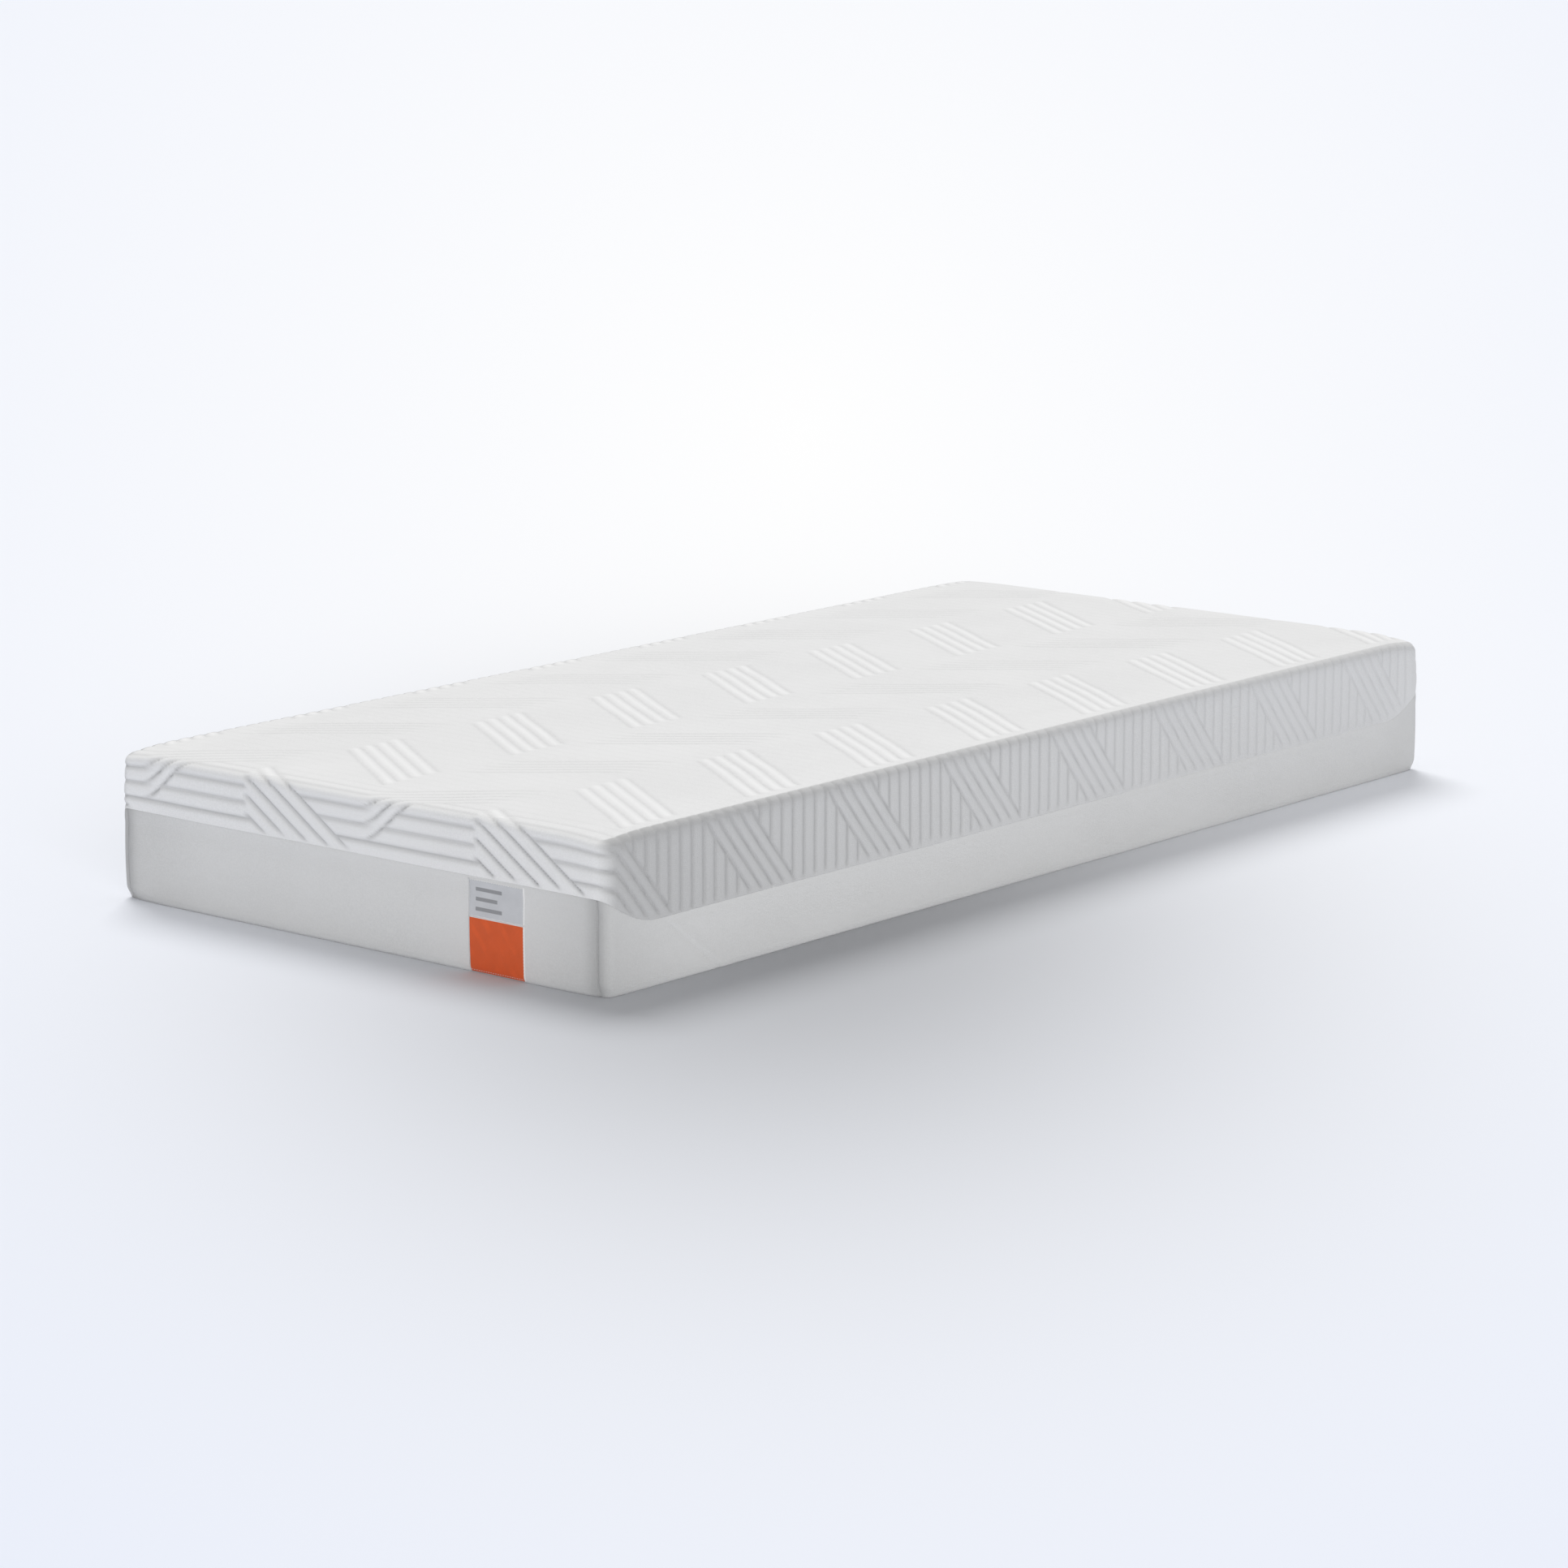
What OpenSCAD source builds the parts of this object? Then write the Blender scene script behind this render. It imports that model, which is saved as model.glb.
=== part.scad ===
// Single memory foam mattress with a removable quilted cover.
// The origin is on the floor at the middle of the base. +X is across, +Y is towards the head, +Z is up.
// A depth is measured straight inwards from the outermost face of the quilted cover.

/* [Mattress] */
// Width across the mattress
mattress_w = 900; // [700:10:2000]
// Length from foot to head
mattress_l = 1900; // [1500:10:2200]
// Height from the floor to the top
mattress_h = 210; // [180:5:320]
// Radius of the four upright corners, seen from above
corner_r = 20; // [18:1:60]
// Radius of the edge round the top
edge_r = 18; // [15:1:18]

/* [Quilted cover] */
// Thickness of the ribbed knitted face
face_t = 2; // [1:0.5:4]
// Thickness of the wadding behind the face
wadding_t = 5; // [2:0.5:6]
// Thickness of the backing cloth
backing_t = 1; // [0.5:0.5:2]
// How far the quilting comes down the foot and head ends
hem_drop_end = 82; // [40:1:100]
// How far the quilting comes down the two long sides
hem_drop_side = 121.5; // [40:0.5:125]
// Length along each side over which the hem curves from one drop to the other
hem_run = 100; // [40:5:200]

/* [Border] */
// How far the plain border lies behind the quilted face
border_inset = 2.5; // [2:0.5:6]
// Thickness of the border cloth
border_t = 1.5; // [1:0.5:3]
// Thickness of the lining behind the border
lining_t = 3; // [1:0.5:4]
// Height of the seam allowance under the hem, where the lining reaches in to the backing
lining_hem = 8; // [4:1:20]
// Height of the border's lower edge above the floor
border_bottom = 4; // [2:1:10]
// Distance from each upright corner to its seam, on the foot and head ends
seam_from_corner = 17; // [10:1:60]
// Width of an upright seam
seam_w = 1; // [0.5:0.5:2]
// How far a seam stands out from the border
seam_proud = 0.5; // [0.2:0.1:1.5]

/* [Base cover] */
// Thickness of the anti-slip base cloth
base_t = 1; // [0.8:0.1:3]
// How far the rubber grip dots stand out under the base cloth
grip_t = 1; // [0.5:0.1:1.5]
// Number of fields of grip dots along the base
grip_fields_n = 3; // [2:1:6]
// Plain cloth left between the fields and the sides
grip_edge = 26; // [20:2:80]
// Plain cloth left between two fields
grip_gap = 12; // [4:2:40]
// Thickness of the strip round the base
base_border_t = 1.5; // [1:0.5:3]
// Gap between the strip round the base and the border that hangs in front of it
flap_gap = 0.4; // [0.3:0.1:2]

/* [Zip] */
// Height of the zip above the floor
zip_z = 32; // [26:1:40]
// Height of the open slot in which the zip shows at the head end
slot_h = 18; // [15:1:24]
// Overlap with which a zip tape is sewn to its cloth
tape_overlap = 8; // [5:1:10]
// Thickness of a zip tape
tape_t = 0.6; // [0.4:0.1:1]
// Radius of a zip coil
coil_r = 1.3; // [1:0.1:1.6]
// Gap between the two coils, where the web of the slider runs
coil_gap = 1.2; // [1:0.1:2]
// How far a coil's flat back is from its middle
coil_flat = 0.9; // [0.6:0.1:0.9]
// Length of the break in the coils between the end stops
zip_break = 12; // [8:1:20]
// Length of an end stop
stop_l = 3; // [2:0.5:3.5]
// Distance from the straight run's end to the break in the coils
break_from_corner = 4; // [0:1:20]

/* [Slider and pull] */
// Length of the slider along the zip
slider_l = 14; // [10:1:20]
// Height of the slider
slider_h = 10; // [8.5:0.5:11]
// Corner radius of the slider's plates
slider_r = 2.5; // [1:0.5:4]
// Thickness of each plate of the slider
plate_t = 1; // [0.8:0.1:1.2]
// Running clearance between the slider and the zip
slider_clear = 0.3; // [0.2:0.05:0.5]
// Length of the web that joins the slider's plates
web_l = 4; // [3:0.5:6]
// Radius of the pin on which the pull turns
pin_r = 0.55; // [0.4:0.05:0.7]
// Running clearance of the pull on its pin
pin_clear = 0.07; // [0.03:0.01:0.1]
// Wall of the pull's eye round the pin
eye_wall = 0.4; // [0.3:0.05:0.5]
// Width of the pull's eye
eye_w = 5; // [4:0.5:6]
// Side gap between the eye and each lug
lug_clear = 0.2; // [0.15:0.05:0.4]
// Thickness of a lug
lug_t = 1; // [0.8:0.1:1.4]
// Height of the pin above the middle of the zip
pivot_dz = 3; // [2:0.5:4]
// Length of the pull below its pin
pull_l = 24; // [15:1:28]
// Width of the pull's grip
pull_w = 9; // [7:0.5:12]
// Thickness of the pull
pull_t = 1; // [0.8:0.1:1.2]

/* [Foam core] */
// Gap between the cover and the core
core_gap = 2; // [1:0.5:5]
// Thickness of the stretch liner round the core
liner_t = 1; // [0.5:0.5:2]
// Gap between the base cloth and the liner
base_gap = 1; // [0.5:0.5:3]
// How far the liner tucks under the core, all round
liner_tuck = 90; // [40:5:200]
// Thickness of the memory foam layer
memory_t = 50; // [30:5:80]
// Thickness of the support foam layer
support_t = 35; // [20:5:60]

/* [Labels] */
// Width of the two-colour label
label_w = 98; // [60:1:120]
// Distance from the label's edge to the side of the mattress
label_from_side = 141; // [100:1:300]
// Height of the grey upper half
label_grey_h = 50; // [30:1:60]
// Height of the orange lower half
label_orange_h = 70; // [40:1:70]
// Gap between the label and the quilted hem above it
label_below_hem = 3; // [1:0.5:10]
// Thickness of a label
label_t = 0.8; // [0.4:0.1:1]
// Width of the blank care label on the head end
care_w = 70; // [40:1:100]
// Height of the blank care label
care_h = 45; // [30:1:60]
// Distance from the middle of the head end to the care label
care_x = 165; // [0:5:300]
// Height of the care label's lower edge above the floor
care_z = 62; // [55:1:80]
// Length of one stitch
stitch_l = 4; // [2:0.5:6]
// Distance from the start of one stitch to the start of the next
stitch_pitch = 6; // [5:0.5:10]
// Thickness of the thread
thread_t = 0.3; // [0.2:0.1:0.5]
// Width of a stitch
thread_w = 0.6; // [0.4:0.1:1]
// Distance from a label's edge to its stitching
stitch_in = 2; // [1:0.5:4]

/* [Hidden] */
$fn = 64;

// Depths behind the outermost face
wadding_depth = face_t;
backing_depth = wadding_depth + wadding_t;
quilt_back = backing_depth + backing_t;
border_back = border_inset + border_t;
lining_back = border_back + lining_t;
lining_hem_back = max(lining_back, backing_depth);
base_border_depth = border_back + flap_gap;
tape_front = base_border_depth + base_border_t;
tape_back = tape_front + tape_t;
coil_depth = tape_front + tape_t / 2;
outer_plate_back = coil_depth - coil_r - slider_clear;
outer_plate_front = outer_plate_back - plate_t;
inner_plate_front = coil_depth + coil_r + slider_clear;
inner_plate_back = inner_plate_front + plate_t;
liner_depth = max(quilt_back, lining_back, inner_plate_back) + core_gap;
foam_depth = liner_depth + liner_t;
eye_r = pin_r + pin_clear + eye_wall;
pivot_depth = outer_plate_front - slider_clear - eye_r;

// Heights
slot_bottom = zip_z - slot_h / 2;
slot_top = zip_z + slot_h / 2;
coil_dz = coil_gap / 2 + coil_r;
lower_tape_top = zip_z - coil_dz - coil_flat;
upper_tape_bottom = zip_z + coil_dz + coil_flat;
upper_tape_top = slot_top + tape_overlap;
base_top = grip_t + base_t;
liner_bottom = base_top + base_gap;
foam_bottom = liner_bottom + liner_t;
foam_top = mattress_h - foam_depth;
memory_bottom = foam_top - memory_t;
support_bottom = memory_bottom - support_t;
hem_z_end = mattress_h - hem_drop_end;
lining_hem_bottom = max(upper_tape_top, mattress_h - max(hem_drop_end, hem_drop_side) - lining_hem);
lining_top = mattress_h - min(hem_drop_end, hem_drop_side) + 1;
label_top = hem_z_end - label_below_hem;
label_x = mattress_w / 2 - label_from_side - label_w;
label_split = label_top - label_grey_h;
label_bottom = label_split - label_orange_h;
seam_x = mattress_w / 2 - seam_from_corner;

// Places along the zip at the head end
straight_half = mattress_w / 2 - corner_r;
break_x = -straight_half + break_from_corner;
slider_x = break_x + zip_break + slider_clear + slider_l / 2;

// Height of the quilted hem at a distance from the foot or head end
function hem_z(from_end) =
    mattress_h - hem_drop_end
    - (hem_drop_side - hem_drop_end) * sin(90 * min(1, max(0, from_end) / hem_run));

// The outline of a rounded slab seen along its length, from one height to another
module slab_section(width, bottom, top, edge) {
    translate([-width / 2, bottom]) square([width, top - edge - bottom]);
    translate([-width / 2 + edge, bottom]) square([width - 2 * edge, top - bottom]);
    for (side = [-1, 1]) translate([side * (width / 2 - edge), top - edge]) circle(edge);
}

// The mattress's outer shape, made smaller all round by a depth
module rounded_slab(depth, bottom) {
    w = mattress_w - 2 * depth;
    l = mattress_l - 2 * depth;
    top = mattress_h - depth;
    r = corner_r - depth;
    edge = edge_r - depth;
    rotate([90, 0, 90]) linear_extrude(w - 2 * r, center = true) slab_section(l, bottom, top, edge);
    rotate([90, 0, 0]) linear_extrude(l - 2 * r, center = true) slab_section(w, bottom, top, edge);
    for (x = [-1, 1], y = [-1, 1]) translate([x * (w / 2 - r), y * (l / 2 - r), 0])
        rotate_extrude() intersection() {
            slab_section(2 * r, bottom, top, edge);
            translate([0, bottom]) square([r, top - bottom]);
        }
}

// A layer of that shape between two depths, open at the bottom
module slab_shell(front, back) {
    difference() {
        rounded_slab(front, 0);
        rounded_slab(back, -1);
    }
}

// A plain slab with upright sides, between two heights
module plain_slab(depth, bottom, top) {
    intersection() {
        rounded_slab(depth, bottom);
        block_between(bottom, top);
    }
}

// Everything between two heights
module block_between(bottom, top) {
    translate([-mattress_w / 2, -mattress_l / 2, bottom]) cube([mattress_w, mattress_l, top - bottom]);
}

// Everything below the curved hem line
module below_hem() {
    half = mattress_l / 2;
    steps = 16;
    curve = [for (i = [0 : steps]) [half - hem_run * i / steps, hem_z(hem_run * i / steps)]];
    mirrored = [for (i = [steps : -1 : 0]) [-curve[i][0], curve[i][1]]];
    start = [[half + 1, -1], [half + 1, curve[0][1]]];
    finish = [[-half - 1, curve[0][1]], [-half - 1, -1]];
    rotate([90, 0, 90]) linear_extrude(mattress_w + 2, center = true)
        polygon(concat(start, curve, mirrored, finish));
}

// Carries an outline round all four sides: its x is minus the depth, its y is the height
module round_sides() {
    long = mattress_l - 2 * corner_r;
    wide = mattress_w - 2 * corner_r;
    for (m = [0, 1]) {
        mirror([m, 0, 0]) translate([mattress_w / 2, 0, 0])
            rotate([90, 0, 0]) linear_extrude(long, center = true) children();
        mirror([0, m, 0]) translate([0, mattress_l / 2, 0])
            rotate([90, 0, 90]) linear_extrude(wide, center = true) children();
    }
    for (mx = [0, 1], my = [0, 1]) mirror([mx, 0, 0]) mirror([0, my, 0])
        translate([mattress_w / 2 - corner_r, mattress_l / 2 - corner_r, 0])
            rotate_extrude(angle = 90) translate([corner_r, 0]) children();
}

// A flat band round the sides between two depths and two heights
module side_band(front, back, bottom, top) {
    round_sides() translate([-back, bottom]) square([back - front, top - bottom]);
}

// Part of the border cloth, from a bottom edge up to the hem
module border_cloth(bottom) {
    intersection() {
        side_band(border_inset, border_back, bottom, mattress_h - min(hem_drop_end, hem_drop_side) + 1);
        below_hem();
    }
}

// The space between the two seams of the foot or head end: end is -1 or 1
module between_seams(end) {
    clear = seam_x - seam_w / 2;
    translate([-clear, end > 0 ? 0 : -mattress_l / 2 - 1, -1])
        cube([2 * clear, mattress_l / 2 + 1, mattress_h + 2]);
}

// The space outside the seams on the left or right: side is -1 or 1
module beyond_seams(side) {
    clear = seam_x + seam_w / 2;
    reach = mattress_w / 2 - clear + 1;
    translate([side > 0 ? clear : -clear - reach, -mattress_l / 2 - 1, -1])
        cube([reach, mattress_l + 2, mattress_h + 2]);
}

// The slots in which the four upright seams lie
module seam_slots() {
    for (x = [-1, 1]) translate([x * seam_x - seam_w / 2, -mattress_l / 2 - 1, -1])
        cube([seam_w, mattress_l + 2, mattress_h + 2]);
}

// A coil seen along its length, with its flat back down
module coil_section() {
    difference() {
        circle(coil_r);
        translate([-coil_r - 1, -coil_flat - coil_r - 1]) square([2 * coil_r + 2, coil_r + 1]);
    }
}

// The break in the coils at the head end
module coil_break() {
    translate([break_x, mattress_l / 2 - coil_depth - coil_r - 1, zip_z - coil_dz - coil_r - 1])
        cube([zip_break, 2 * coil_r + 2, 2 * (coil_dz + coil_r) + 2]);
}

// A pair of end stops that close off a coil at the break, between two heights
module coil_stops(bottom, top) {
    for (x = [break_x, break_x + zip_break - stop_l])
        translate([x, mattress_l / 2 - coil_depth - coil_r, bottom])
            cube([stop_l, 2 * coil_r, top - bottom]);
}

// A flat rounded rectangle
module rounded_rect(w, h, r) {
    square([w - 2 * r, h], center = true);
    square([w, h - 2 * r], center = true);
    for (x = [-1, 1], y = [-1, 1]) translate([x * (w / 2 - r), y * (h / 2 - r)]) circle(r);
}

// Stands a flat outline up against the head end, between two depths
module on_head_end(x, z, front, back) {
    translate([x, mattress_l / 2 - back, z]) mirror([0, 1, 0]) rotate([90, 0, 0])
        linear_extrude(back - front) children();
}

// A label on the foot end, between two heights
module foot_label(bottom, top) {
    translate([label_x, -mattress_l / 2 + border_inset - label_t, bottom])
        cube([label_w, label_t, top - bottom]);
}

// A row of stitches on the foot end's label: it starts at x and z and runs across or up
module stitch_row(x, z, run, up) {
    count = floor((run + stitch_pitch - stitch_l) / stitch_pitch);
    for (i = [0 : count - 1])
        translate([
            x + (up ? -thread_w / 2 : i * stitch_pitch),
            -mattress_l / 2 + border_inset - label_t - thread_t,
            z + (up ? i * stitch_pitch : -thread_w / 2),
        ]) cube([up ? thread_w : stitch_l, thread_t, up ? stitch_l : thread_w]);
}

// ---- Base cover ----

module grip_fields() {
    pitch = (mattress_l - 2 * grip_edge + grip_gap) / grip_fields_n;
    color("#9a9ca0") for (i = [0 : grip_fields_n - 1])
        translate([grip_edge - mattress_w / 2, grip_edge - mattress_l / 2 + i * pitch, 0])
            cube([mattress_w - 2 * grip_edge, pitch - grip_gap, grip_t]);
}

module base_panel() {
    color("#bcbec2") plain_slab(base_border_depth, grip_t, base_top);
}

module base_border() {
    color("#c6c8cb") side_band(base_border_depth, tape_front, base_top, slot_bottom);
}

module lower_zip_tape() {
    color("#d2d3d5") side_band(tape_front, tape_back, slot_bottom - tape_overlap, lower_tape_top);
}

module lower_zip_coil() {
    color("#c3c4c6") difference() {
        round_sides() translate([-coil_depth, zip_z - coil_dz]) coil_section();
        coil_break();
    }
}

module lower_zip_stops() {
    color("#b9babc") coil_stops(lower_tape_top, zip_z - coil_gap / 2);
}

// ---- Foam core ----

// The liner covers the sides and top, and tucks under the core round an opening
module inner_liner() {
    opening = [
        mattress_w - 2 * (liner_depth + liner_tuck),
        mattress_l - 2 * (liner_depth + liner_tuck),
        foam_bottom + 1,
    ];
    color("#e9e6de") {
        difference() {
            rounded_slab(liner_depth, foam_bottom);
            rounded_slab(foam_depth, -1);
        }
        difference() {
            plain_slab(liner_depth, liner_bottom, foam_bottom);
            translate([-opening[0] / 2, -opening[1] / 2, 0]) cube(opening);
        }
    }
}

module base_foam() {
    color("#f3f1ea") plain_slab(foam_depth, foam_bottom, support_bottom);
}

module support_foam() {
    color("#cfe0ea") plain_slab(foam_depth, support_bottom, memory_bottom);
}

module memory_foam() {
    color("#f6edc9") rounded_slab(foam_depth, memory_bottom);
}

// ---- Top cover ----

module quilt_backing() {
    color("#e3e3e1") difference() {
        slab_shell(backing_depth, quilt_back);
        below_hem();
    }
}

module quilt_wadding() {
    color("#f2f2f0") difference() {
        slab_shell(wadding_depth, backing_depth);
        below_hem();
    }
}

module quilt_face() {
    color("#e4e5e7") difference() {
        slab_shell(0, face_t);
        below_hem();
    }
}

module border_foot() {
    color("#d3d5d8") intersection() {
        border_cloth(border_bottom);
        between_seams(-1);
    }
}

module border_head() {
    color("#d3d5d8") intersection() {
        border_cloth(slot_top);
        between_seams(1);
    }
}

module border_left() {
    color("#d3d5d8") intersection() {
        border_cloth(border_bottom);
        beyond_seams(-1);
    }
}

module border_right() {
    color("#d3d5d8") intersection() {
        border_cloth(border_bottom);
        beyond_seams(1);
    }
}

module border_lining() {
    color("#ededeb") intersection() {
        union() {
            side_band(border_back, lining_back, upper_tape_top, lining_top);
            side_band(border_back, lining_hem_back, lining_hem_bottom, lining_top);
        }
        below_hem();
    }
}

module corner_seams() {
    color("#bdbfc2") intersection() {
        side_band(border_inset - seam_proud, border_back, border_bottom, mattress_h);
        below_hem();
        seam_slots();
    }
}

module upper_zip_tape() {
    color("#d2d3d5") round_sides() polygon([
        [-tape_back, upper_tape_bottom], [-tape_front, upper_tape_bottom],
        [-tape_front, slot_top], [-border_back, slot_top],
        [-border_back, upper_tape_top], [-tape_back, upper_tape_top],
    ]);
}

module upper_zip_coil() {
    color("#c3c4c6") difference() {
        round_sides() translate([-coil_depth, zip_z + coil_dz]) mirror([0, 1]) coil_section();
        coil_break();
    }
}

module upper_zip_stops() {
    color("#b9babc") coil_stops(zip_z + coil_gap / 2, upper_tape_bottom);
}

module label_grey() {
    color("#b2b3b8") foot_label(label_split, label_top);
}

module label_orange() {
    color("#cf5a2a") foot_label(label_bottom, label_split);
}

module label_stitching() {
    left = label_x + stitch_in;
    right = label_x + label_w - stitch_in;
    color("#f4f4f4") {
        for (x = [left, right])
            stitch_row(x, label_bottom + stitch_in, label_top - label_bottom - 2 * stitch_in, true);
        for (z = [label_bottom + stitch_in, label_top - stitch_in])
            stitch_row(left + stitch_in, z, label_w - 4 * stitch_in, false);
    }
}

module care_label() {
    color("#f7f7f5") translate([-care_x - care_w / 2, mattress_l / 2 - border_inset, care_z])
        cube([care_w, label_t, care_h]);
}

// ---- Zip slider ----

module zip_slider() {
    web_x = slider_x - slider_l / 2 + slider_r;
    lug_x = eye_w / 2 + lug_clear;
    color("#8f9296") {
        on_head_end(slider_x, zip_z, outer_plate_front, outer_plate_back) rounded_rect(slider_l, slider_h, slider_r);
        on_head_end(slider_x, zip_z, inner_plate_front, inner_plate_back) rounded_rect(slider_l, slider_h, slider_r);
        translate([web_x, mattress_l / 2 - inner_plate_front, zip_z - coil_gap / 2 + slider_clear])
            cube([web_l, inner_plate_front - outer_plate_back, coil_gap - 2 * slider_clear]);
        for (side = [-1, 1]) difference() {
            translate([slider_x + (side > 0 ? lug_x : -lug_x - lug_t), mattress_l / 2, zip_z + pivot_dz])
                rotate([90, 0, 90]) linear_extrude(lug_t) {
                    translate([-pivot_depth, 0]) circle(eye_r);
                    translate([-outer_plate_front, -eye_r]) square([outer_plate_front - pivot_depth, 2 * eye_r]);
                }
            pin_rod(pin_r, 2 * (lug_x + lug_t) + 2);
        }
    }
}

// A round rod along the pull's turning axis
module pin_rod(r, length) {
    translate([slider_x - length / 2, mattress_l / 2 - pivot_depth, zip_z + pivot_dz])
        rotate([0, 90, 0]) cylinder(r = r, h = length);
}

module pull_pin() {
    color("#a6a9ad") pin_rod(pin_r, 2 * (eye_w / 2 + lug_clear + lug_t));
}

module zip_pull() {
    neck_l = pull_l / 3;
    color("#9da0a4") difference() {
        union() {
            pin_rod(eye_r, eye_w);
            on_head_end(slider_x, zip_z + pivot_dz - neck_l / 2, pivot_depth - pull_t / 2, pivot_depth + pull_t / 2)
                square([eye_w, neck_l], center = true);
            on_head_end(slider_x, zip_z + pivot_dz - (neck_l + pull_l) / 2 + 1,
                        pivot_depth - pull_t / 2, pivot_depth + pull_t / 2)
                rounded_rect(pull_w, pull_l - neck_l + 2, slider_r);
        }
        pin_rod(pin_r + pin_clear, eye_w + 2);
    }
}

grip_fields();
base_panel();
base_border();
lower_zip_tape();
lower_zip_coil();
lower_zip_stops();
inner_liner();
base_foam();
support_foam();
memory_foam();
quilt_backing();
quilt_wadding();
quilt_face();
border_foot();
border_head();
border_left();
border_right();
border_lining();
corner_seams();
upper_zip_tape();
upper_zip_coil();
upper_zip_stops();
label_grey();
label_orange();
label_stitching();
care_label();
zip_slider();
pull_pin();
zip_pull();
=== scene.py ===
import math

import bmesh
import bpy
import numpy as np
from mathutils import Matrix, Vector


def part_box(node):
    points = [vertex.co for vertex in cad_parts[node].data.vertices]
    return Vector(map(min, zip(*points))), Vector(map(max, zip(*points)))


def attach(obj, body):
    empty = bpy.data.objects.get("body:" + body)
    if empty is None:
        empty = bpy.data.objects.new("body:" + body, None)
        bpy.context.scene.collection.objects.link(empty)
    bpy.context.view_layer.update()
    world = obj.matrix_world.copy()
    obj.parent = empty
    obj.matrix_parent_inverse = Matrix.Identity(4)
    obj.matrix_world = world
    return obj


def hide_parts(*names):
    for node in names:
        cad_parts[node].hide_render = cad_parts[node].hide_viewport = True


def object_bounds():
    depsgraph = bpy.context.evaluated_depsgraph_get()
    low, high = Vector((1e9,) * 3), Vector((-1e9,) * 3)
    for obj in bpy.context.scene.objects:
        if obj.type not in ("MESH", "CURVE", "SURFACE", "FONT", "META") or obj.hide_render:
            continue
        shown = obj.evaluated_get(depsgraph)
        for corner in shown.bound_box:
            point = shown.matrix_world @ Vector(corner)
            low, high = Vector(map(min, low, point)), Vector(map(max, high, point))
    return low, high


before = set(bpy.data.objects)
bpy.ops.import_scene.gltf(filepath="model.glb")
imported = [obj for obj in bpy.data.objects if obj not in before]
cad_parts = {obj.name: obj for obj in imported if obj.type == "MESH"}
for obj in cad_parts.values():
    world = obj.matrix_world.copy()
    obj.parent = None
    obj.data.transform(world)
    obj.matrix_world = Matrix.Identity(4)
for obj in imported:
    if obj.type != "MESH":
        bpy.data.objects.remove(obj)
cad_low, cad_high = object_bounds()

# ---------------------------------------------------------------- sizes, in metres

HALF_W, HALF_L, TOP = cad_high.x, cad_high.y, cad_high.z
CORNER_R = 0.020        # upright corners, seen from above
EDGE_R = 0.015          # the edge round the top
EDGE_ARC = EDGE_R * math.pi / 2
HEM_SET_BACK = 0.0012   # how far the quilting's lower edge lies behind the outermost face


def front(node):
    """How far a node's outer face lies behind the outermost face."""
    return HALF_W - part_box(node)[1].x


def low(node):
    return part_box(node)[0].z


def high(node):
    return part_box(node)[1].z


BORDER_DEPTH = HALF_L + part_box("border_foot")[0].y
BORDER_T = front("border_lining") - BORDER_DEPTH
BACKING_DEPTH = front("quilt_backing")
QUILT_BACK = BACKING_DEPTH + (BACKING_DEPTH - front("quilt_wadding")) / 5   # a backing a fifth of the wadding
STRIP_DEPTH = front("base_border")
TAPE_FRONT = front("lower_zip_tape")
TAPE_T = 0.0006
LINER_DEPTH = front("inner_liner")
FOAM_DEPTH = front("base_foam")
SEAM_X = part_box("border_foot")[1].x + 0.0005
HEM_END = TOP - high("border_foot") - 0.0016
HEM_SIDE = TOP - low("quilt_face")
HEM_RUN = 0.1
FLOOR_GAP = 0.0002      # how far the hanging border stops above the floor
FIELDS, FIELD_GAP = 3, 0.012        # fields of grip dots along the base, and the cloth between two of them


# ---------------------------------------------------------------- small helpers

def smooth(t):
    """0 below 0, 1 above 1, and a soft S between."""
    t = np.clip(t, 0, 1)
    return t * t * (3 - 2 * t)


def waves(a, b, seed, count=7, scale=1.0):
    """Soft unevenness between about -1 and 1, from a few sine waves with seeded directions."""
    rng = np.random.default_rng(seed)
    total = np.zeros(np.broadcast(a, b).shape)
    for _ in range(count):
        ka, kb = rng.uniform(-1, 1, 2) * 2 * math.pi / scale
        total += np.sin(ka * a + kb * b + rng.uniform(0, 2 * math.pi))
    return total / math.sqrt(count) / 1.4


def new_object(name, verts, faces, material, smooth_shade=True):
    mesh = bpy.data.meshes.new(name)
    mesh.from_pydata([tuple(v) for v in np.asarray(verts, float)], [], faces)
    mesh.validate()
    mesh.update()
    mesh.polygons.foreach_set("use_smooth", [smooth_shade] * len(mesh.polygons))
    mesh.materials.append(material)
    obj = bpy.data.objects.new(name, mesh)
    bpy.context.scene.collection.objects.link(obj)
    return obj


def face_outwards(obj):
    bm = bmesh.new()
    bm.from_mesh(obj.data)
    bmesh.ops.recalc_face_normals(bm, faces=bm.faces)
    bm.to_mesh(obj.data)
    bm.free()


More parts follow.
